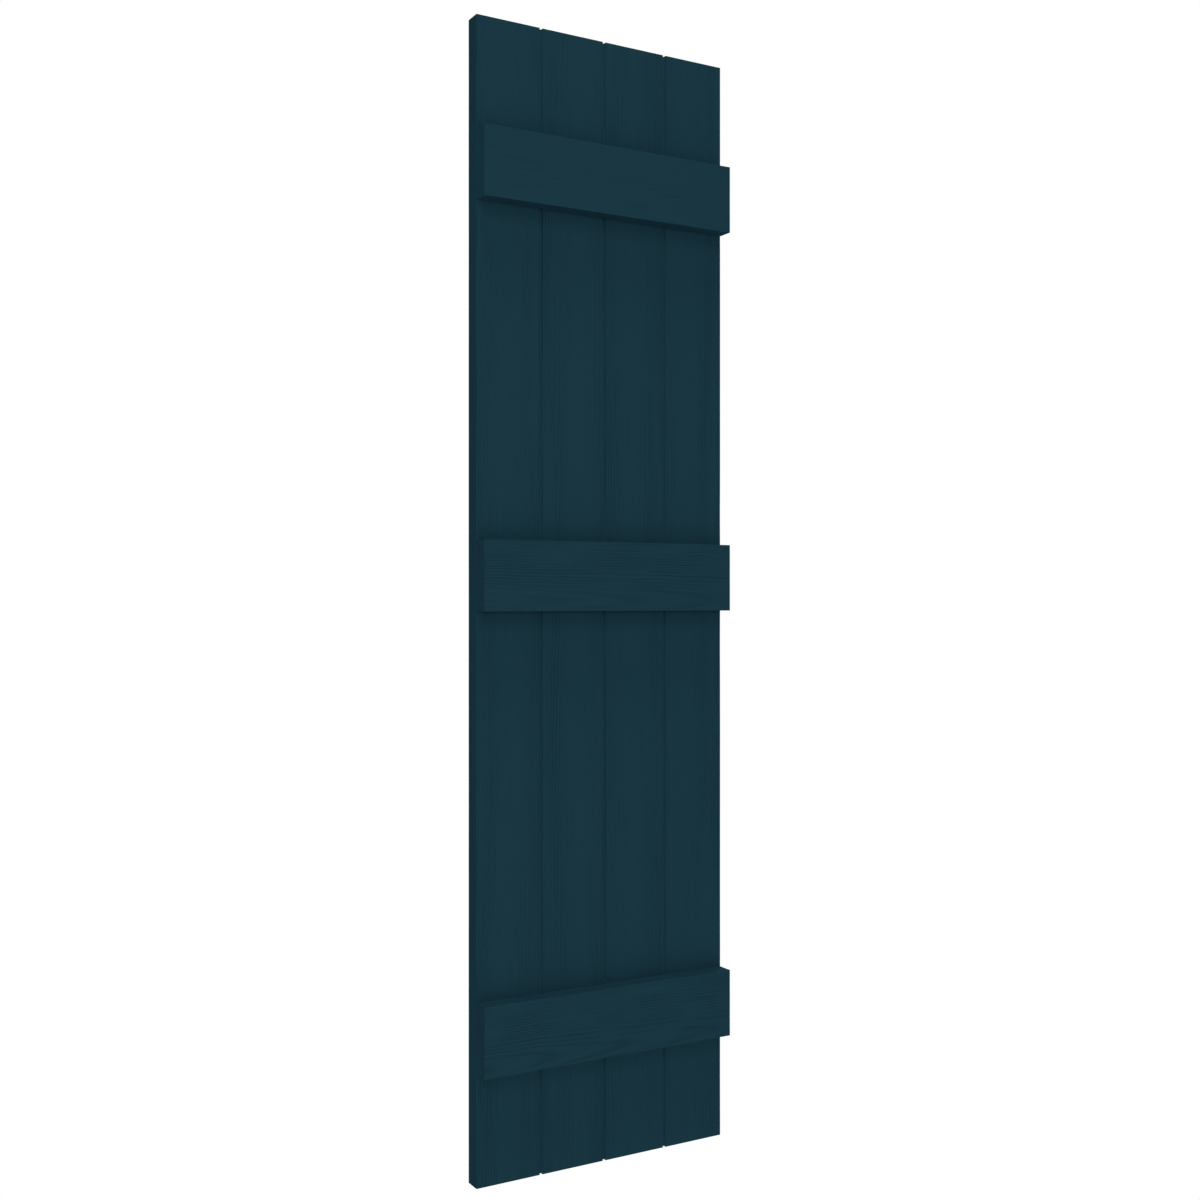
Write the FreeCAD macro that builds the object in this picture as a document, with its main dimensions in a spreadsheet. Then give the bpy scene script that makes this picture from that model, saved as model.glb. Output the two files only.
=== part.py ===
# Board and batten shutter: four tongue-and-groove boards held by three battens screwed on from the back.
# Frame in millimetres: X to the right seen from the front, -Y out of the front, Z up.
# The origin is the middle of the back, on the face that lies against the wall.
import FreeCAD
import Part
import Sketcher
import os

DIMENSIONS = {
    "shutter_height": 1463,
    "board_face": 89,
    "board_thick": 23,
    "reveal_width": 4,
    "reveal_depth": 4.5,
    "tongue_thick": 7,
    "tongue_length": 7,
    "tongue_taper": 1,
    "tongue_play": 0.3,
    "back_gap": 0.5,
    "arris_radius": 0.5,
    "batten_height": 89,
    "batten_thick": 23,
    "end_inset": 142,
    "middle_rise": 32,
    "screw_margin": 22,
    "screw_hole": 4.5,
    "countersink_width": 9,
    "countersink_angle": 90,
    "pilot_hole": 3,
    "pilot_cover": 7,
}
BOARDS = ("left_board", "left_centre_board", "right_centre_board", "right_board")
LAST = len(BOARDS) - 1
TOLERANCE = 1e-6

# Places worked out from the driving dimensions, as expressions on the sheet
PITCH = "(sizes.board_face + sizes.reveal_width)"
WIDTH = f"({LAST} * {PITCH} + sizes.board_face)"
HALF_FACE = "sizes.board_face / 2"
JOINT = f"({PITCH} / 2)"
FRONT = "-sizes.board_thick"
REVEAL_FLOOR = "(sizes.reveal_depth - sizes.board_thick)"
TONGUE_BACK = f"(({REVEAL_FLOOR} + sizes.tongue_thick) / 2)"
TONGUE_FRONT = f"(({REVEAL_FLOOR} - sizes.tongue_thick) / 2)"
END_BATTEN = "((sizes.shutter_height - sizes.batten_height) / 2 - sizes.end_inset)"
BATTENS = {
    "top_batten": END_BATTEN,
    "middle_batten": "sizes.middle_rise",
    "bottom_batten": f"-{END_BATTEN}",
}
SCREW_OUT = "(sizes.board_face / 2 - sizes.screw_margin)"
SCREW_UP = "(sizes.batten_height / 2 - sizes.screw_margin)"

doc = FreeCAD.newDocument("shutter")
sheet = doc.addObject("Spreadsheet::Sheet", "sizes")
for row, (alias, value) in enumerate(DIMENSIONS.items(), start=1):
    sheet.set(f"A{row}", alias)
    sheet.set(f"B{row}", str(value))
    sheet.setAlias(f"B{row}", alias)
doc.recompute()


def size(expression):
    return float(sheet.evalExpression(expression))


def board_centre(index):
    """Distance of a board's face centre from the shutter's centre line."""
    return f"({index} - {LAST} / 2) * {PITCH}"


def new_body(name, x, y, z):
    """An empty body whose origin is tied to a place in the shutter."""
    body = doc.addObject("PartDesign::Body", name)
    body.Label = name
    for axis, place in (("x", x), ("y", y), ("z", z)):
        body.setExpression(f"Placement.Base.{axis}", place)
    return body


def new_sketch(body, name, role):
    """An empty sketch on one of the body's own origin planes."""
    plane = next(item for item in body.Origin.OriginFeatures if item.Role == role)
    sketch = body.newObject("Sketcher::SketchObject", name)
    sketch.AttachmentSupport = [(plane, "")]
    sketch.MapMode = "FlatFace"
    return sketch


def tie_point(sketch, geometry, point, x, y):
    """Holds one point of a sketch at expressions measured from the sketch's origin."""
    for kind, expression in (("DistanceX", x), ("DistanceY", y)):
        constraint = Sketcher.Constraint(kind, -1, 1, geometry, point, size(expression))
        sketch.setExpression(f"Constraints[{sketch.addConstraint(constraint)}]", expression)


def draw_outline(sketch, corners):
    """A closed outline of straight sides through corners given as pairs of expressions."""
    points = [FreeCAD.Vector(size(x), size(y), 0) for x, y in corners]
    sides = [Part.LineSegment(a, b) for a, b in zip(points, points[1:] + points[:1])]
    lines = sketch.addGeometry(sides)
    for line, following in zip(lines, lines[1:] + lines[:1]):
        sketch.addConstraint(Sketcher.Constraint("Coincident", line, 2, following, 1))
    for line, (x, y) in zip(lines, corners):
        tie_point(sketch, line, 1, x, y)


def pad_outline(body, name, role, corners, length, sides):
    """Extrudes a closed outline into the body's first solid."""
    sketch = new_sketch(body, f"{name}_outline", role)
    draw_outline(sketch, corners)
    pad = body.newObject("PartDesign::Pad", f"{name}_pad")
    pad.Profile = sketch
    pad.SideType = sides
    pad.setExpression("Length", length)
    doc.recompute()
    return pad


def ease_front(body, base, name, front):
    """Rounds the four arrises of the front face."""
    depth = size(front)
    edges = [
        f"Edge{number}"
        for number, edge in enumerate(base.Shape.Edges, start=1)
        if all(abs(vertex.Y - depth) < TOLERANCE for vertex in edge.Vertexes)
    ]
    fillet = body.newObject("PartDesign::Fillet", f"{name}_eased_arrises")
    fillet.Base = (base, edges)
    fillet.setExpression("Radius", "sizes.arris_radius")
    doc.recompute()


def drill_from_back(body, name, diameter, centres):
    """A set of like holes that start on the back face and run towards the front."""
    sketch = new_sketch(body, f"{name}_hole_centres", "XZ_Plane")
    upright = FreeCAD.Vector(0, 0, 1)
    for x, z in centres:
        circle = Part.Circle(FreeCAD.Vector(size(x), size(z), 0), upright, size(diameter) / 2)
        index = sketch.addGeometry(circle)
        tie_point(sketch, index, 3, x, z)
        constraint = Sketcher.Constraint("Diameter", index, size(diameter))
        sketch.setExpression(f"Constraints[{sketch.addConstraint(constraint)}]", diameter)
    doc.recompute()
    hole = body.newObject("PartDesign::Hole", f"{name}_holes")
    hole.Profile = sketch
    hole.Reversed = True
    hole.setExpression("Diameter", diameter)
    return hole


def check_drilled(body, solid_volume):
    doc.recompute()
    if body.Shape.Volume >= solid_volume:
        raise RuntimeError(f"the holes of {body.Label} cut nothing")


def tongue_edge():
    """Right edge from front to back: reveal, shoulder, tapered tongue, shoulder set back behind it."""
    tip = f"({JOINT} + sizes.tongue_length)"
    root = f"({tip} - sizes.tongue_taper)"
    rear = f"({JOINT} - sizes.back_gap)"
    return [
        (HALF_FACE, FRONT),
        (HALF_FACE, REVEAL_FLOOR),
        (JOINT, REVEAL_FLOOR),
        (JOINT, TONGUE_FRONT),
        (root, TONGUE_FRONT),
        (tip, f"{TONGUE_FRONT} + sizes.tongue_taper"),
        (tip, f"{TONGUE_BACK} - sizes.tongue_taper"),
        (root, TONGUE_BACK),
        (rear, TONGUE_BACK),
        (rear, "0"),
    ]


def groove_edge():
    """Left edge from back to front: shoulder, groove with play round the tongue, shoulder, reveal."""
    floor = f"-({JOINT} - sizes.tongue_length - sizes.tongue_play)"
    groove_back = f"({TONGUE_BACK} + sizes.tongue_play)"
    groove_front = f"({TONGUE_FRONT} - sizes.tongue_play)"
    return [
        (f"-{JOINT}", "0"),
        (f"-{JOINT}", groove_back),
        (floor, groove_back),
        (floor, groove_front),
        (f"-{JOINT}", groove_front),
        (f"-{JOINT}", REVEAL_FLOOR),
        (f"-{HALF_FACE}", REVEAL_FLOOR),
        (f"-{HALF_FACE}", FRONT),
    ]


def make_board(index, name):
    """One upright board: plain on the shutter's outer edges, tongue or groove where it meets another."""
    plain_left = [(f"-{HALF_FACE}", "0"), (f"-{HALF_FACE}", FRONT)]
    plain_right = [(HALF_FACE, FRONT), (HALF_FACE, "0")]
    left = plain_left if index == 0 else groove_edge()
    right = plain_right if index == LAST else tongue_edge()
    body = new_body(name, board_centre(index), "0", "0")
    pad = pad_outline(body, name, "XY_Plane", left + right, "sizes.shutter_height", "Symmetric")
    ease_front(body, pad, name, FRONT)
    centres = []
    for middle in BATTENS.values():
        centres.append((f"-{SCREW_OUT}", f"{middle} + {SCREW_UP}"))
        centres.append((SCREW_OUT, f"{middle} - {SCREW_UP}"))
    solid_volume = body.Shape.Volume
    hole = drill_from_back(body, name, "sizes.screw_hole", centres)
    hole.DepthType = "ThroughAll"
    hole.HoleCutType = "Countersink"
    hole.HoleCutCustomValues = True
    hole.setExpression("HoleCutDiameter", "sizes.countersink_width")
    hole.setExpression("HoleCutCountersinkAngle", "sizes.countersink_angle")
    check_drilled(body, solid_volume)
    return body


def make_batten(name, middle):
    """One batten across all the boards, with blind pilot holes for the screws through each board."""
    half_width = f"{WIDTH} / 2"
    half_height = "sizes.batten_height / 2"
    corners = [
        (f"-{half_width}", f"-{half_height}"),
        (half_width, f"-{half_height}"),
        (half_width, half_height),
        (f"-{half_width}", half_height),
    ]
    body = new_body(name, "0", FRONT, middle)
    pad = pad_outline(body, name, "XZ_Plane", corners, "sizes.batten_thick", "One side")
    ease_front(body, pad, name, "-sizes.batten_thick")
    centres = []
    for index in range(len(BOARDS)):
        centres.append((f"{board_centre(index)} - {SCREW_OUT}", SCREW_UP))
        centres.append((f"{board_centre(index)} + {SCREW_OUT}", f"-{SCREW_UP}"))
    solid_volume = body.Shape.Volume
    hole = drill_from_back(body, name, "sizes.pilot_hole", centres)
    hole.DepthType = "Dimension"
    hole.setExpression("Depth", "sizes.batten_thick - sizes.pilot_cover")
    hole.DrillPoint = "Flat"
    check_drilled(body, solid_volume)
    return body


pieces = [make_board(index, name) for index, name in enumerate(BOARDS)]
pieces += [make_batten(name, middle) for name, middle in BATTENS.items()]
doc.recompute()

failed = [item.Label for item in doc.Objects if {"Invalid", "Error"} & set(item.State)]
failed += [piece.Label for piece in pieces if piece.Shape.isNull() or not piece.Shape.isValid()]
if failed:
    raise RuntimeError(f"these did not build: {failed}")

os.makedirs("parts", exist_ok=True)
for piece in pieces:
    piece.Shape.exportStep(f"parts/{piece.Label}.step")
    box = piece.Shape.BoundBox
    print(f"{piece.Label}: {box.XLength:.1f} x {box.YLength:.1f} x {box.ZLength:.1f}, {piece.Shape.Volume:.0f} mm3")
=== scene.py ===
# %% [markdown]
# # A board and batten shutter
# Four upright boards stand side by side with a narrow square reveal between their faces. Three battens,
# screwed on from behind, hold them together, and the whole shutter is painted dark teal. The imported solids
# give every piece its size and place. This lesson keeps those outlines, gives the wood its grain and the
# paint its colour, adds the screws that the solids only have holes for, and sets up the light and a camera.

import math
import random
from collections import namedtuple

import bmesh
import bpy
from mathutils import Matrix, Vector, noise


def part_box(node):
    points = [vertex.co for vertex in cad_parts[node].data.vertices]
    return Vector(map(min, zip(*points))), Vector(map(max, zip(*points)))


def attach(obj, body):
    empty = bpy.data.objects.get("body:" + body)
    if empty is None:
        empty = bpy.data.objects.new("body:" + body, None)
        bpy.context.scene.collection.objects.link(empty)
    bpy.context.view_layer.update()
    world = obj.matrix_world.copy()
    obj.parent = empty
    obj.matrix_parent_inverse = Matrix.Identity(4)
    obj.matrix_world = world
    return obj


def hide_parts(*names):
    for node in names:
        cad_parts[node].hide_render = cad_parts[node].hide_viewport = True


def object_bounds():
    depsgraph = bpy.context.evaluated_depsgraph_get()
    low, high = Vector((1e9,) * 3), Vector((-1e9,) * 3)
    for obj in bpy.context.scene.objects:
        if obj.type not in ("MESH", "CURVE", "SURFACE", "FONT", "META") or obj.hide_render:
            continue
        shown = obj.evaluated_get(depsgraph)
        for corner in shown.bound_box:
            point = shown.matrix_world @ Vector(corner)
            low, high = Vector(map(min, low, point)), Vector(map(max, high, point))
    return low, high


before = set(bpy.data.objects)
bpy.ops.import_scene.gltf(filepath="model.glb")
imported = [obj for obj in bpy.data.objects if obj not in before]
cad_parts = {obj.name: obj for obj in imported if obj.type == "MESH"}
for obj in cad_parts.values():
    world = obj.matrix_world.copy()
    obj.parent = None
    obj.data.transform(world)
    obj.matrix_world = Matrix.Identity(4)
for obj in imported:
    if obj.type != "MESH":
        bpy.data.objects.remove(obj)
cad_low, cad_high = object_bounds()
X, Y, Z = 0, 1, 2
MM = 0.001
BOARDS = sorted((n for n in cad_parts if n.endswith("_board")), key=lambda n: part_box(n)[0].x)
BATTENS = sorted((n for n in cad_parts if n.endswith("_batten")), key=lambda n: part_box(n)[0].z)
print("boards from left to right:", BOARDS)
print("battens from bottom to top:", BATTENS)

# %% [markdown]
# ## How wood lies inside a board
# A board is a slice of a log, so its growth rings are arcs round a pith that lies somewhere behind the face.
# On a flat-sawn face those arcs come out as lines that crowd together towards the edges and open into long
# pointed arches in the middle. A flat noise texture can't do that, and it doesn't turn the corner onto the
# edges and the ends. Here each stick gets a place in an imaginary log, and the grain is worked out from it.

# %% Give each stick its place in a log
Stock = namedtuple("Stock", "seed aside depth lean ripple open strength fade")
Log = namedtuple("Log", "across depth lean ripple open strength fade start")
Stick = namedtuple("Stick", "node run cross low high centre log")
# Aside, depth and ripple are in millimetres and the lean is a slope. Open is how much of the rings shows
# where they lie flat to the face, strength is how much shows at all, and fade is how often lines come and
# go in a metre.
BOARD_STOCK = Stock(seed=310, aside=(2, 12), depth=(34, 46), lean=(0.012, 0.024),
                    ripple=0.2, open=0.05, strength=1.0, fade=4)
# From the bottom up: short wavy lines, longer close lines, and a calm piece
BATTEN_STOCKS = (
    Stock(seed=520, aside=(32, 38), depth=(26, 32), lean=(0.02, 0.03),
          ripple=1.8, open=0.7, strength=0.9, fade=26),
    Stock(seed=521, aside=(30, 40), depth=(28, 36), lean=(0.02, 0.03),
          ripple=0.8, open=0.6, strength=0.75, fade=12),
    Stock(seed=522, aside=(30, 40), depth=(28, 38), lean=(0.02, 0.03),
          ripple=0.8, open=0.6, strength=0.25, fade=10),
)
EITHER_WAY = (-1, 1)
LOG_SPAN = 100
WANDER, WANDER_RATE = 5 * MM, 2.3
RIPPLE_RATE = 38
SWAY_LANE, HEAVE_LANE, RIPPLE_LANE = 0.5, 9.5, 30.5


def draw_log(stock, index=0):
    """Where the pith lies aside of a stick's face and behind it, and how the log leans."""
    draw = random.Random(stock.seed + index)
    across = draw.choice(EITHER_WAY) * draw.uniform(*stock.aside) * MM
    depth = draw.uniform(*stock.depth) * MM
    lean = draw.choice(EITHER_WAY) * draw.uniform(*stock.lean)
    start = draw.uniform(0, LOG_SPAN)
    return Log(across, depth, lean, stock.ripple * MM, stock.open, stock.strength, stock.fade, start)


def make_stick(node, run, cross, log):
    low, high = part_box(node)
    return Stick(node, run, cross, low, high, (low + high) / 2, log)


sticks = {n: make_stick(n, Z, X, draw_log(BOARD_STOCK, i)) for i, n in enumerate(BOARDS)}
sticks.update({n: make_stick(n, X, Z, draw_log(stock)) for stock, n in zip(BATTEN_STOCKS, BATTENS)})


def place_in_log(stick, co):
    """A point's offset from the pith across the face and into the wood, and its place along the grain."""
    along = co[stick.run]
    log = stick.log
    sway = WANDER * noise.noise((log.start, SWAY_LANE, along * WANDER_RATE))
    sway += log.ripple * noise.noise((log.start, RIPPLE_LANE, along * RIPPLE_RATE))
    heave = WANDER * noise.noise((log.start, HEAVE_LANE, along * WANDER_RATE))
    across = co[stick.cross] - stick.centre[stick.cross] - log.across + sway
    deep = co.y - stick.low.y - log.depth - log.lean * along + heave
    return Vector((across, deep, along + log.start))


for name, stick in sticks.items():
    print(f"{name}: pith {stick.log.across / MM:.0f} mm aside, {stick.log.depth / MM:.0f} mm behind")

# %% [markdown]
# ## How deep the grain is
# The soft bands between the growth rings lie a little lower than the hard ones, and short fibre streaks run
# all over. Paint fills neither. Rings that come up steeply through the face leave sharp lines, which is why
# the edges of a board show them and its middle hardly does. The depth is a quarter of a millimetre at most,
# and it is cut inwards, so that no surface stands proud of the solid that it replaces.

# %% Work out the grain at a point
RING_GAP = 2.8 * MM
RING_LINE = 0.2
RING_DEPTH = 0.2 * MM
RING_UNEVEN, UNEVEN_ACROSS, UNEVEN_ALONG = 0.55, 160, 0.9
STEEP_FULL, STEEP_POWER = 0.72, 3
FADE_MEAN, FADE_SWING, FADE_ACROSS = 0.65, 1.1, 55
FIBRE_ACROSS, FIBRE_ALONG = 620, 14
FIBRE_DEPTH = 0.05 * MM


def log_noise(place, across, along):
    """Noise in the log, drawn out along the grain by two rates."""
    return noise.noise((place.x * across, place.y * across, place.z * along))


def clamp(value):
    return min(max(value, 0.0), 1.0)


def grain_at(stick, co):
    """How far a point lies in a ring line and in a fibre streak, each from 0 to 1."""
    place = place_in_log(stick, co)
    radius = math.hypot(place.x, place.y)
    uneven = noise.noise((radius * UNEVEN_ACROSS, stick.log.start, place.z * UNEVEN_ALONG))
    off_line = (radius / RING_GAP + RING_UNEVEN * uneven) % 1.0 - 0.5
    line = math.exp(-(off_line / RING_LINE) ** 2)
    steep = clamp(abs(place.x) / radius / STEEP_FULL) ** STEEP_POWER
    shown = stick.log.strength * (stick.log.open + (1 - stick.log.open) * steep)
    fading = clamp(FADE_MEAN + FADE_SWING * log_noise(place, FADE_ACROSS, stick.log.fade))
    return line * shown * fading, clamp(log_noise(place, FIBRE_ACROSS, FIBRE_ALONG))


print(f"ring lines {RING_GAP / MM:.1f} mm apart, up to {(RING_DEPTH + FIBRE_DEPTH) / MM:.2f} mm deep")

# %% [markdown]
# ## Tracing a stick's outline
# The tongue, the groove, the reveal and the eased arrises are already right in the solids. Drawing them
# again by hand would be slow and could go wrong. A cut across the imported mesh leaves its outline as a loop
# of edges, and points in the middle of straight runs, which only come from its triangles, are dissolved.
# The cut is made where no screw hole passes.

# %% Trace a section
WELD = 0.001 * MM
ON_CUT = 0.0001 * MM
STRAIGHT = -0.99999
SECTION_ASIDE = 1 * MM


def section_level(stick):
    """A place along the stick that is clear of the screw holes."""
    if stick.run == Z:
        return (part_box(BATTENS[-1])[0].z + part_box(BATTENS[-2])[1].z) / 2
    return stick.centre.x + SECTION_ASIDE


def is_straight(vert):
    first, second = [(edge.other_vert(vert).co - vert.co).normalized() for edge in vert.link_edges]
    return first.dot(second) < STRAIGHT


def trace_section(stick):
    """A bmesh that holds only the outline of a stick, cut square across its length."""
    bm = bmesh.new()
    bm.from_mesh(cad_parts[stick.node].data)
    bmesh.ops.remove_doubles(bm, verts=bm.verts, dist=WELD)
    normal = Vector([axis == stick.run for axis in (X, Y, Z)])
    everything = bm.verts[:] + bm.edges[:] + bm.faces[:]
    bmesh.ops.bisect_plane(bm, geom=everything, dist=ON_CUT, plane_co=normal * section_level(stick),
                           plane_no=normal, clear_inner=True, clear_outer=True)
    bmesh.ops.dissolve_verts(bm, verts=[vert for vert in bm.verts if is_straight(vert)])
    return bm


for name in (BOARDS[1], BATTENS[0]):
    outline = trace_section(sticks[name])
    print(f"{name}: an outline of {len(outline.verts)} points")
    outline.free()

# %% [markdown]
# ## From an outline to a stick
# The sides that show are cut into strips that are narrow enough for the grain. The outline is then
# extruded over the stick's length, closed, and cut into rows, which can be far apart because wood changes
# slowly along its grain. A plain extruded bar would look sawn from plastic: it is these strips that carry
# the relief.

# %% Extrude a section over its length
FACE_STRIP = 0.42 * MM
EDGE_STRIP = 0.6 * MM
BACK_STRIP = 2.0 * MM
ROW = 9 * MM


def shown_planes(stick):
    """The flat sides of a stick that can be seen, as axis, position and width of strip."""
    low, high = stick.low, stick.high
    if stick.run == X:
        return [(Y, low.y, FACE_STRIP), (Z, low.z, EDGE_STRIP), (Z, high.z, EDGE_STRIP)]
    sides = [(X, cad_low.x, EDGE_STRIP), (X, cad_high.x, EDGE_STRIP)]
    return [(Y, low.y, FACE_STRIP), (Y, high.y, BACK_STRIP)] + sides


def on_plane(verts, axis, position):
    return all(abs(vert.co[axis] - position) < WELD for vert in verts)


def extrude_section(bm, stick):
    """Cuts the shown sides of an outline into strips, and draws it out into a closed stick."""
    start, length = stick.low[stick.run], stick.high[stick.run] - stick.low[stick.run]
    for axis, position, strip in shown_planes(stick):
        for edge in [e for e in bm.edges if on_plane(e.verts, axis, position)]:
            bmesh.ops.subdivide_edges(bm, edges=[edge], cuts=int(edge.calc_length() / strip))
    for vert in bm.verts:
        vert.co[stick.run] = start
    drawn = bmesh.ops.extrude_edge_only(bm, edges=bm.edges[:])["geom"]
    step = Vector([length * (axis == stick.run) for axis in (X, Y, Z)])
    bmesh.ops.translate(bm, verts=[g for g in drawn if isinstance(g, bmesh.types.BMVert)], vec=step)
    long_edges = [e for e in bm.edges
                  if abs(e.verts[0].co[stick.run] - e.verts[1].co[stick.run]) > length / 2]
    bmesh.ops.subdivide_edges(bm, edges=long_edges, cuts=int(length / ROW), use_grid_fill=True)
    bmesh.ops.holes_fill(bm, edges=[e for e in bm.edges if e.is_boundary], sides=0)
    bmesh.ops.recalc_face_normals(bm, faces=bm.faces)


print(f"strips of {FACE_STRIP / MM:.2f} mm on the faces, rows of {ROW / MM:.0f} mm along the grain")

# %% [markdown]
# ## Easing the ends and carving the grain
# A saw leaves the ends square, and a rub with sandpaper takes off the sharp front edge before painting. A
# bevel does that. The relief could come from a displacement modifier, but a modifier moves everything by one
# texture, and here only the sides that show are carved. The back is planed smoother, so it gets less of it.

# %% Ease and carve a stick
END_EASE = 0.4 * MM
EASE_STEPS = 2
BACK_SHARE = 0.3
SKIN = 1 * MM


def ease_ends(bm, stick):
    """Bevels the front edge of both ends."""
    face_edges = [e for e in bm.edges if on_plane(e.verts, Y, stick.low.y)]
    for position in (stick.low[stick.run], stick.high[stick.run]):
        edges = [e for e in face_edges if e.is_valid and on_plane(e.verts, stick.run, position)]
        bmesh.ops.bevel(bm, geom=edges, offset=END_EASE, offset_type="OFFSET", affect="EDGES",
                        segments=EASE_STEPS, profile=0.5, material=-1, clamp_overlap=True)


def carve_share(stick, co):
    """How much of the grain's depth a point gets: all on faces and outer edges, none inside the joints."""
    if co.y > stick.high.y - SKIN:
        return BACK_SHARE if stick.run == Z else 0.0
    outer_edge = stick.run == X or co.x < cad_low.x + SKIN or co.x > cad_high.x - SKIN
    return 1.0 if outer_edge or co.y < stick.low.y + SKIN else 0.0


def carve_grain(bm, stick):
    """Sinks the shown surfaces along the grain."""
    bm.normal_update()
    moves = []
    for vert in bm.verts:
        share = carve_share(stick, vert.co)
        if share:
            line, streak = grain_at(stick, vert.co)
            moves.append((vert, share * (RING_DEPTH * line + FIBRE_DEPTH * streak)))
    for vert, depth in moves:
        vert.co -= depth * vert.normal


def build_stick(stick):
    bm = trace_section(stick)
    extrude_section(bm, stick)
    ease_ends(bm, stick)
    carve_grain(bm, stick)
    return bm


print(f"ends eased by {END_EASE / MM:.1f} mm")

# %% [markdown]
# ## Sinking the screws
# On the back every screw sits in a countersunk hole. The holes could be kept from the solids, but their
# loose triangles don't join up with the strips of the grain. A turned cutter that is taken away with a
# Boolean modifier leaves the same recess in the new mesh. The modifier is applied at once, so that nothing
# stays live.

# %% Turn a cutter and cut the countersinks
SCREW_MARGIN = 22 * MM
SINK_RADIUS = 4.5 * MM
HOLE_RADIUS = 2.25 * MM
HOLE_DEPTH = 12 * MM
OVERSHOOT = 0.5 * MM
SCREW_SIDES = 32
BACK = cad_high.y


def to_object(bm, name):
    """Turns a bmesh into an object at the origin."""
    mesh = bpy.data.meshes.new(name)
    bm.to_mesh(mesh)
    bm.free()
    piece = bpy.data.objects.new(name, mesh)
    bpy.context.scene.collection.objects.link(piece)
    return piece


def turn_solid(bm, profile, place):
    """Adds a solid turned about an axis square to the back, from a profile of radius and depth."""
    corners = [place + Vector((radius, -depth, 0)) for radius, depth in profile]
    points = [bmesh.ops.create_vert(bm, co=corner)["vert"][0] for corner in corners]
    edges = []
    for ends in zip(points, points[1:]):
        edges += bmesh.ops.contextual_create(bm, geom=list(ends))["edges"]
    bmesh.ops.spin(bm, geom=points + edges, cent=place, axis=(0, 1, 0), angle=math.tau, steps=SCREW_SIDES,
                   use_merge=True)


def close_solids(bm):
    bmesh.ops.remove_doubles(bm, verts=bm.verts, dist=WELD)
    bmesh.ops.recalc_face_normals(bm, faces=bm.faces)


def cut_away(piece, cutter_bm):
    """Takes a cutter away from a piece, and leaves neither the cutter nor a modifier."""
    cutter = to_object(cutter_bm, "cutter")
    cut = piece.modifiers.new("cut", "BOOLEAN")
    cut.operation = "DIFFERENCE"
    cut.object = cutter
    bpy.context.view_layer.update()
    shaped = bpy.data.meshes.new_from_object(piece.evaluated_get(bpy.context.evaluated_depsgraph_get()))
    piece.modifiers.clear()
    piece.data = shaped
    bpy.data.objects.remove(cutter)


def face_centre(board):
    """Centre line of a board's face: the pitch is even, and the outer faces end at the shutter's sides."""
    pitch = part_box(BOARDS[2])[0].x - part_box(BOARDS[1])[0].x
    return (cad_low.x + cad_high.x) / 2 + (BOARDS.index(board) - (len(BOARDS) - 1) / 2) * pitch


def screw_places(board, batten):
    """Two screws on a diagonal where a batten crosses a board."""
    low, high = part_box(batten)
    middle, level = face_centre(board), (low.z + high.z) / 2
    out = cad_high.x - face_centre(BOARDS[-1]) - SCREW_MARGIN
    up = (high.z - low.z) / 2 - SCREW_MARGIN
    return [Vector((middle - out, BACK, level + up)), Vector((middle + out, BACK, level - up))]


def countersink_cutter(board):
    cone_end = (HOLE_RADIUS, SINK_RADIUS - HOLE_RADIUS)
    profile = [(0, -OVERSHOOT), (SINK_RADIUS + OVERSHOOT, -OVERSHOOT), cone_end,
               (HOLE_RADIUS, HOLE_DEPTH), (0, HOLE_DEPTH)]
    bm = bmesh.new()
    for batten in BATTENS:
        for place in screw_places(board, batten):
            turn_solid(bm, profile, place)
    close_solids(bm)
    return bm


print(f"{2 * len(BATTENS)} countersinks for each board, {2 * SINK_RADIUS / MM:.0f} mm wide")

# %% [markdown]
# ## Telling the paint where the grain is, and where light is painted in
# The paint looks a little darker down in the grain and a little lighter on the ridges. The material can't
# know the relief by itself, so each point carries two attributes: its place in the log, and how deep in the
# grain it lies. What isn't carved, above all the reveals, gets a value below zero instead. That is painted
# light: a shade lighter paint that lifts the shade down in the reveals, because in the plain tone the lines
# of the joints were too dark. A third attribute marks the sawn ends. Attributes travel with the mesh, so the
# pattern stays where the shape is.

# %% Write the attributes and build the seven sticks
RING_SHARE = 0.75
# Painted light: uncarved points, above all in the reveals, get this value, which paints them a shade lighter
# than the teal to lift their shade
UNCARVED_PAINTED_LIGHT = -0.4
SHARP = math.radians(32)
SQUARE_ON = 0.99


def is_end(face, stick):
    return abs(face.normal[stick.run]) > SQUARE_ON


def write_attributes(mesh, stick):
    places, grain_and_painted_light = [], []
    for vert in mesh.vertices:
        line, streak = grain_at(stick, vert.co)
        places.extend(place_in_log(stick, vert.co))
        depth = RING_SHARE * line + (1 - RING_SHARE) * streak
        # where a point isn't carved, painted light takes the place of the grain depth
        grain_and_painted_light.append(depth if carve_share(stick, vert.co) else UNCARVED_PAINTED_LIGHT)
    ends = [float(is_end(face, stick)) for face in mesh.polygons]
    mesh.attributes.new("log_place", "FLOAT_VECTOR", "POINT").data.foreach_set("vector", places)
    mesh.attributes.new("grain", "FLOAT", "POINT").data.foreach_set("value", grain_and_painted_light)
    mesh.attributes.new("sawn_end", "FLOAT", "FACE").data.foreach_set("value", ends)


def finish_stick(piece, stick):
    write_attributes(piece.data, stick)
    piece.data.shade_smooth()
    piece.data.set_sharp_from_angle(angle=SHARP)
    for face in piece.data.polygons:
        if is_end(face, stick):
            face.use_smooth = False
    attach(piece, "root")
    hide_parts(stick.node)


painted = {}
for name, stick in sticks.items():
    piece = to_object(build_stick(stick), f"{name}_painted")
    if stick.run == Z:
        cut_away(piece, countersink_cutter(name))
    finish_stick(piece, stick)
    painted[name] = piece
    print(f"{piece.name}: {len(piece.data.vertices)} points, {len(piece.data.polygons)} faces")

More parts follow.
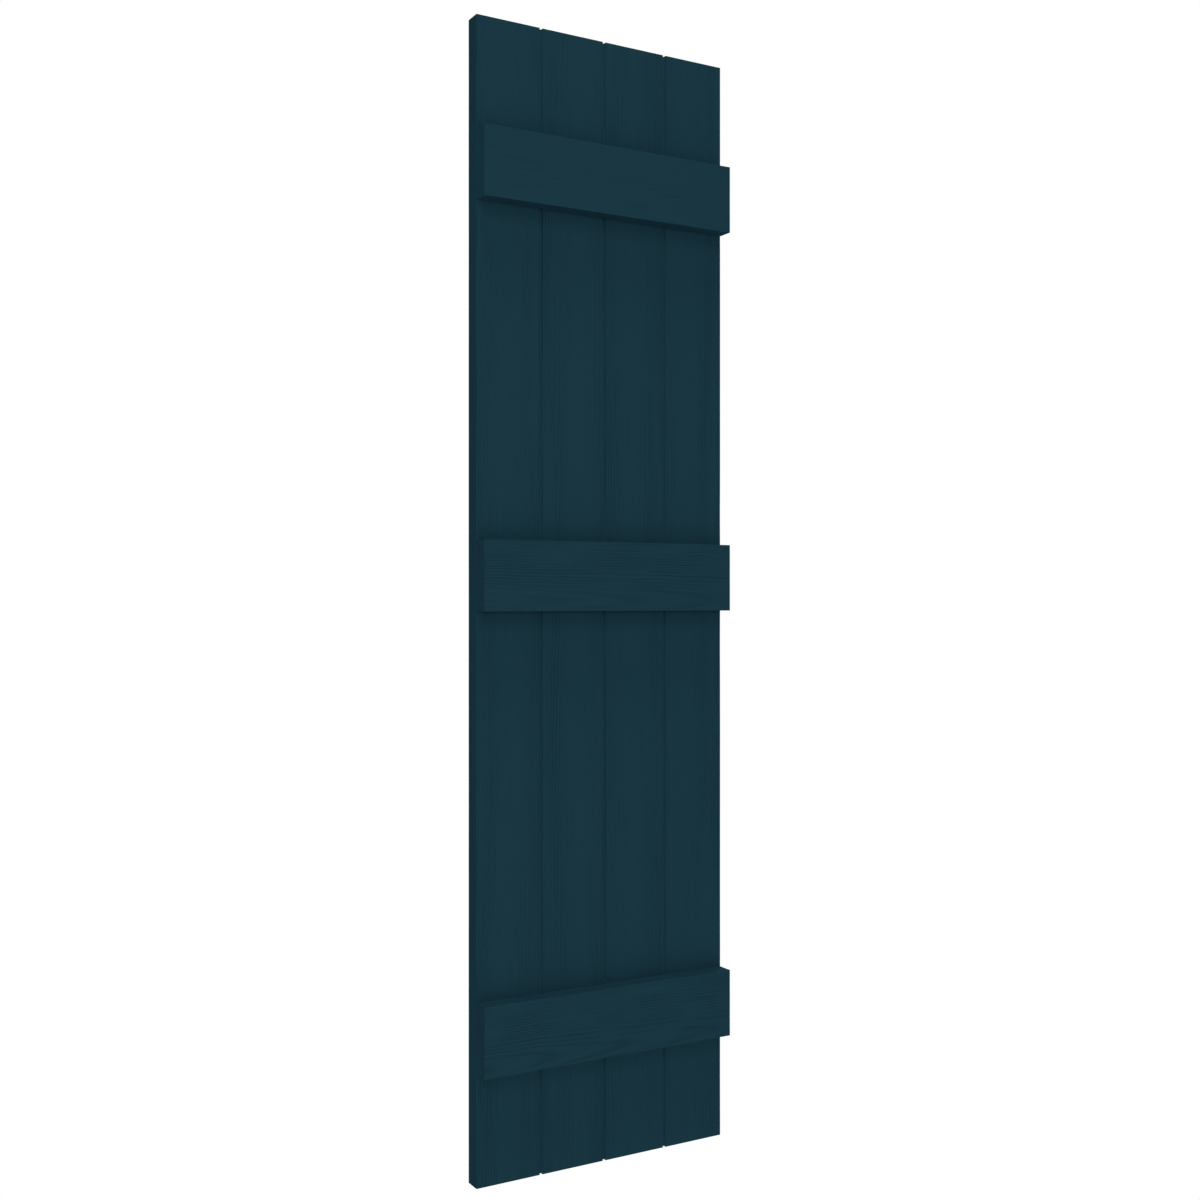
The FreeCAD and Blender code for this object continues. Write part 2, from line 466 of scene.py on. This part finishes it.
# %% [markdown]
# ## The screws
# Two screws hold each board to each batten, and their heads show on the back. A screw is a turned thing, so
# its profile is drawn once and spun round. The square socket in the head is a four-sided cone that is cut
# away. Only as much of the shank is made as the open hole could ever show, and the thread is left out.

# %% Turn the screws
HEAD_RADIUS = 4.2 * MM
HEAD_RIM = 0.2 * MM
HEAD_SUNK = 0.2 * MM
SHANK_RADIUS = 2.0 * MM
SHANK_END = 11 * MM
SOCKET_TOP = 1.9 * MM
SOCKET_FLOOR = 1.5 * MM
SOCKET_DEPTH = 2.2 * MM
SOCKET_SIDES = 4
QUARTER_TURN = math.radians(90)


def turn_screws(places):
    neck = HEAD_SUNK + HEAD_RIM + HEAD_RADIUS - SHANK_RADIUS
    profile = [(0, HEAD_SUNK), (HEAD_RADIUS - HEAD_RIM, HEAD_SUNK), (HEAD_RADIUS, HEAD_SUNK + HEAD_RIM),
               (SHANK_RADIUS, neck), (SHANK_RADIUS, SHANK_END), (0, SHANK_END)]
    bm = bmesh.new()
    for place in places:
        turn_solid(bm, profile, place)
    close_solids(bm)
    return bm


def socket_cutter(places, draw):
    """A square taper for each screw, turned as the driver happened to leave it."""
    bm = bmesh.new()
    for place in places:
        turn = Matrix.Rotation(draw.uniform(0, math.tau), 4, "Y") @ Matrix.Rotation(QUARTER_TURN, 4, "X")
        middle = Matrix.Translation(place - Vector((0, SOCKET_DEPTH / 2, 0)))
        bmesh.ops.create_cone(bm, cap_ends=True, segments=SOCKET_SIDES, radius1=SOCKET_TOP,
                              radius2=SOCKET_FLOOR, depth=SOCKET_DEPTH, matrix=middle @ turn)
    return bm


screws = []
for batten in BATTENS:
    places = [place for board in BOARDS for place in screw_places(board, batten)]
    piece = to_object(turn_screws(places), f"{batten}_screws")
    cut_away(piece, socket_cutter(places, random.Random(batten)))
    piece.data.shade_smooth()
    piece.data.set_sharp_from_angle(angle=SHARP)
    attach(piece, "root")
    screws.append(piece)
    print(f"{piece.name}: {len(places)} screws, {len(piece.data.polygons)} faces")

# %% [markdown]
# ## Painting the wood
# Exterior paint on wood is quite matte, with a tone that shifts a little down in the grain and along the
# brush. An image texture could hold all of that, but nodes stay sharp at any distance. The grain attribute
# mixes two near tones of the same teal, a streaky noise that follows the log adds the brush, and the sawn
# ends get faint rings from the same log. Where the attribute is below zero the mix runs past the lighter
# tone, and that painted light lifts the shade in the uncarved reveals. A very fine bump breaks up the flats
# between the ring lines.

# %% Mix the paint
TEAL = (0.0099, 0.0363, 0.0523, 1.0)
TEAL_LOW = (0.0064, 0.0236, 0.0340, 1.0)
# How strongly the grain attribute moves the tone: the grain depth, and below zero the painted light in the
# reveals
GRAIN_AND_PAINTED_LIGHT_TONE = 0.85
END_RING_TONE = 0.25
BRUSH_TONE = 0.2
BRUSH_STRETCH = (160, 160, 5)
FINE_STRETCH = (1500, 1500, 60)
FINE_HEIGHT = 0.02 * MM
FINE_STRENGTH = 0.5
NOISE_DETAIL = 2.0
ACROSS_ONLY = (1, 1, 0)
PAINT_ROUGHNESS = 0.7


def new_material(name):
    material = bpy.data.materials.new(name)
    material.use_nodes = True
    tree = material.node_tree
    return material, tree.nodes, tree.links, tree.nodes["Principled BSDF"]


def add_node(nodes, kind, **values):
    """A node with some of its inputs or settings set by name."""
    node = nodes.new(kind)
    for key, value in values.items():
        if key in node.inputs:
            node.inputs[key].default_value = value
        else:
            setattr(node, key, value)
    return node


def calculate(nodes, links, operation, first, second):
    """A math node on a socket and on a socket or a number."""
    node = add_node(nodes, "ShaderNodeMath", operation=operation)
    links.new(first, node.inputs[0])
    if isinstance(second, bpy.types.NodeSocket):
        links.new(second, node.inputs[1])
    else:
        node.inputs[1].default_value = second
    return node.outputs[0]


def stretched_noise(nodes, links, place, stretch):
    """A noise drawn out along the grain."""
    scaled = add_node(nodes, "ShaderNodeVectorMath", operation="MULTIPLY")
    scaled.inputs[1].default_value = stretch
    links.new(place, scaled.inputs[0])
    texture = add_node(nodes, "ShaderNodeTexNoise", Scale=1.0, Detail=NOISE_DETAIL)
    links.new(scaled.outputs["Vector"], texture.inputs["Vector"])
    return texture.outputs["Fac"]


def end_rings(nodes, links, place):
    """Rings round the pith, only on the sawn ends."""
    flat = add_node(nodes, "ShaderNodeVectorMath", operation="MULTIPLY")
    flat.inputs[1].default_value = ACROSS_ONLY
    links.new(place, flat.inputs[0])
    radius = add_node(nodes, "ShaderNodeVectorMath", operation="LENGTH")
    links.new(flat.outputs["Vector"], radius.inputs[0])
    turns = calculate(nodes, links, "MULTIPLY", radius.outputs["Value"], math.tau / RING_GAP)
    wave = add_node(nodes, "ShaderNodeMath", operation="SINE")
    links.new(turns, wave.inputs[0])
    sawn = add_node(nodes, "ShaderNodeAttribute", attribute_name="sawn_end")
    tone = calculate(nodes, links, "MULTIPLY", wave.outputs[0], END_RING_TONE)
    return calculate(nodes, links, "MULTIPLY", tone, sawn.outputs["Fac"])


def paint_material(name):
    material, nodes, links, shader = new_material(name)
    shader.inputs["Specular IOR Level"].default_value = 0.0
    shader.inputs["Roughness"].default_value = PAINT_ROUGHNESS
    place = add_node(nodes, "ShaderNodeAttribute", attribute_name="log_place").outputs["Vector"]
    # The grain attribute holds the grain depth, and below zero the painted light of the uncarved reveals
    grain = add_node(nodes, "ShaderNodeAttribute", attribute_name="grain").outputs["Fac"]
    low = calculate(nodes, links, "MULTIPLY", grain, GRAIN_AND_PAINTED_LIGHT_TONE)
    low = calculate(nodes, links, "ADD", low, end_rings(nodes, links, place))
    brush = stretched_noise(nodes, links, place, BRUSH_STRETCH)
    brush = calculate(nodes, links, "MULTIPLY", brush, BRUSH_TONE)
    # The factor isn't clamped, so the painted light below zero comes out lighter than the teal
    tone = add_node(nodes, "ShaderNodeMix", data_type="RGBA", clamp_factor=False)
    links.new(calculate(nodes, links, "ADD", low, brush), tone.inputs["Factor"])
    tone.inputs["A"].default_value = TEAL
    tone.inputs["B"].default_value = TEAL_LOW
    links.new(tone.outputs["Result"], shader.inputs["Base Color"])
    bump = add_node(nodes, "ShaderNodeBump", Strength=FINE_STRENGTH, Distance=FINE_HEIGHT)
    links.new(stretched_noise(nodes, links, place, FINE_STRETCH), bump.inputs["Height"])
    links.new(bump.outputs["Normal"], shader.inputs["Normal"])
    return material


board_paint = paint_material("board_paint")
batten_paint = paint_material("batten_paint")
for name, piece in painted.items():
    piece.data.materials.clear()
    piece.data.materials.append(board_paint if sticks[name].run == Z else batten_paint)
print("painted", len(painted), "sticks")

# %% [markdown]
# ## Plating the screws
# Exterior screws are plated steel: metal, but dulled by the plating, so that they mirror nothing clearly. A
# plain metal shader would do. A slow noise in the roughness keeps the eight heads of a batten from looking
# copied.

# %% Make the plated steel
STEEL = (0.42, 0.41, 0.38, 1.0)
PLATING_SCALE = 900
PLATING_SMOOTH, PLATING_DULL = 0.3, 0.5


def steel_material():
    material, nodes, links, shader = new_material("plated_steel")
    shader.inputs["Base Color"].default_value = STEEL
    shader.inputs["Metallic"].default_value = 1.0
    where = nodes.new("ShaderNodeTexCoord")
    blotches = add_node(nodes, "ShaderNodeTexNoise", Scale=PLATING_SCALE, Detail=NOISE_DETAIL)
    links.new(where.outputs["Object"], blotches.inputs["Vector"])
    rough = add_node(nodes, "ShaderNodeMapRange")
    rough.inputs["To Min"].default_value = PLATING_SMOOTH
    rough.inputs["To Max"].default_value = PLATING_DULL
    links.new(blotches.outputs["Fac"], rough.inputs["Value"])
    links.new(rough.outputs["Result"], shader.inputs["Roughness"])
    return material


plated_steel = steel_material()
for piece in screws:
    piece.data.materials.clear()
    piece.data.materials.append(plated_steel)
print("plated", len(screws), "sets of screws")

# %% [markdown]
# ## The floor
# The shutter is shown as it hangs, clear of a pale floor. To the camera the floor brightens to plain white a
# little way off, so that it meets the white background without an edge. Near the shutter it is an ordinary
# floor that takes its shadow. Turning up the lamps until the floor burns out would wash out the paint too.

# %% Lay the floor
FLOOR_DROP = 0.9
FLOOR_SIZE = 40
FLOOR_GREY = (0.85, 0.85, 0.85, 1.0)
WHITE_NEAR = 0.55
WHITE_STARTS = 1.9
WHITE_FULL = 2.6


def background_rays(nodes, links):
    """1 for rays that look at the background: from the camera, in a reflection or through something."""
    path = nodes.new("ShaderNodeLightPath")
    seen = path.outputs["Is Camera Ray"]
    for name in ("Is Glossy Ray", "Is Transmission Ray"):
        seen = calculate(nodes, links, "MAXIMUM", seen, path.outputs[name])
    return seen


def floor_material():
    material, nodes, links, shader = new_material("pale_floor")
    shader.inputs["Base Color"].default_value = FLOOR_GREY
    shader.inputs["Specular IOR Level"].default_value = 0.0
    where = nodes.new("ShaderNodeTexCoord")
    distance = add_node(nodes, "ShaderNodeVectorMath", operation="LENGTH")
    links.new(where.outputs["Object"], distance.inputs[0])
    share = add_node(nodes, "ShaderNodeMapRange", interpolation_type="SMOOTHSTEP")
    for name, value in (("From Min", WHITE_STARTS), ("From Max", WHITE_FULL), ("To Min", WHITE_NEAR)):
        share.inputs[name].default_value = value
    links.new(distance.outputs["Value"], share.inputs["Value"])
    mix = nodes.new("ShaderNodeMixShader")
    seen = background_rays(nodes, links)
    links.new(calculate(nodes, links, "MULTIPLY", share.outputs["Result"], seen), mix.inputs["Fac"])
    links.new(shader.outputs[0], mix.inputs[1])
    links.new(add_node(nodes, "ShaderNodeEmission", Strength=1.0).outputs[0], mix.inputs[2])
    links.new(mix.outputs[0], nodes["Material Output"].inputs["Surface"])
    return material


bm = bmesh.new()
level = Matrix.Translation((0, 0, cad_low.z - FLOOR_DROP))
bmesh.ops.create_grid(bm, x_segments=1, y_segments=1, size=FLOOR_SIZE, matrix=level)
floor = to_object(bm, "floor")
floor.data.materials.append(floor_material())
print(f"floor {FLOOR_DROP} m under the shutter")

# %% [markdown]
# ## The light
# Dark matte paint shows little but its shadows, so the lamps decide what can be read. Here a soft box stands
# behind the camera, which keeps the reveals open, a second one above it lays the soft shadow under each
# batten, a third hangs overhead for the ledges, and a weak one on the left lifts the edge. One behind the
# shutter, off to the right, lights its back and its other edge. A single bare lamp would cut hard black
# lines under the battens.

# %% Hang the lamps
Lamp = namedtuple("Lamp", "azimuth elevation power size")
LAMP_DISTANCE = 8
LAMPS = {
    "front_box": Lamp(azimuth=-30, elevation=5, power=276, size=1.6),
    "upper_box": Lamp(azimuth=-30, elevation=36, power=190, size=3.2),
    "overhead_box": Lamp(azimuth=-36, elevation=80, power=450, size=2.1),
    "side_box": Lamp(azimuth=-80, elevation=0, power=54, size=2.1),
    "back_box": Lamp(azimuth=135, elevation=25, power=450, size=2.7),
}
FILL = 0.03
WHITE = (1, 1, 1, 1)


def hang_lamp(name, lamp):
    """A square soft box that faces the shutter from a bearing and a height in degrees."""
    turn, rise = math.radians(lamp.azimuth), math.radians(lamp.elevation)
    level = math.cos(rise)
    outward = Vector((math.sin(turn) * level, -math.cos(turn) * level, math.sin(rise)))
    data = bpy.data.lights.new(name, "AREA")
    data.energy = lamp.power
    data.size = lamp.size
    box = bpy.data.objects.new(name, data)
    box.location = outward * LAMP_DISTANCE
    box.rotation_euler = outward.to_track_quat("Z", "Y").to_euler()
    box.visible_camera = False
    bpy.context.scene.collection.objects.link(box)


for name, lamp in LAMPS.items():
    hang_lamp(name, lamp)

world = bpy.data.worlds.new("studio")
bpy.context.scene.world = world
world.use_nodes = True
nodes, links = world.node_tree.nodes, world.node_tree.links
sky = nodes["Background"]
sky.inputs["Color"].default_value = WHITE
strength = add_node(nodes, "ShaderNodeMapRange")
strength.inputs["To Min"].default_value = FILL
links.new(background_rays(nodes, links), strength.inputs["Value"])
links.new(strength.outputs["Result"], sky.inputs["Strength"])
print("lamps:", ", ".join(LAMPS))

# %% [markdown]
# ## The camera
# The picture is taken from the left at the height of the shutter's middle, with a level camera, so that all
# uprights stay upright. Its place and lens follow from where the edges of the boards and the battens meet
# when they are drawn on.

# %% Place the camera
CAMERA_YAW = math.radians(30)
HALF_VIEW = math.radians(22.5)
CAMERA_PLACE = Vector((-0.95218, -1.66109, 0.0018))
SENSOR_WIDTH = 36
camera_data = bpy.data.cameras.new("camera")
camera_data.sensor_width = SENSOR_WIDTH
camera_data.lens = SENSOR_WIDTH / 2 / math.tan(HALF_VIEW)
camera = bpy.data.objects.new("camera", camera_data)
camera.location = CAMERA_PLACE
camera.rotation_euler = (QUARTER_TURN, 0, -CAMERA_YAW)
bpy.context.scene.collection.objects.link(camera)
bpy.context.scene.camera = camera
bpy.context.scene.view_settings.view_transform = "Standard"
print(f"lens {camera_data.lens:.1f} mm")

# %% [markdown]
# ## The size of the solids
# A coat of looks mustn't make the shutter bigger. The box round the solids is printed here.

# %% Print the box of the solids
print("solids", [round(c, 4) for c in (*cad_low, *cad_high)])
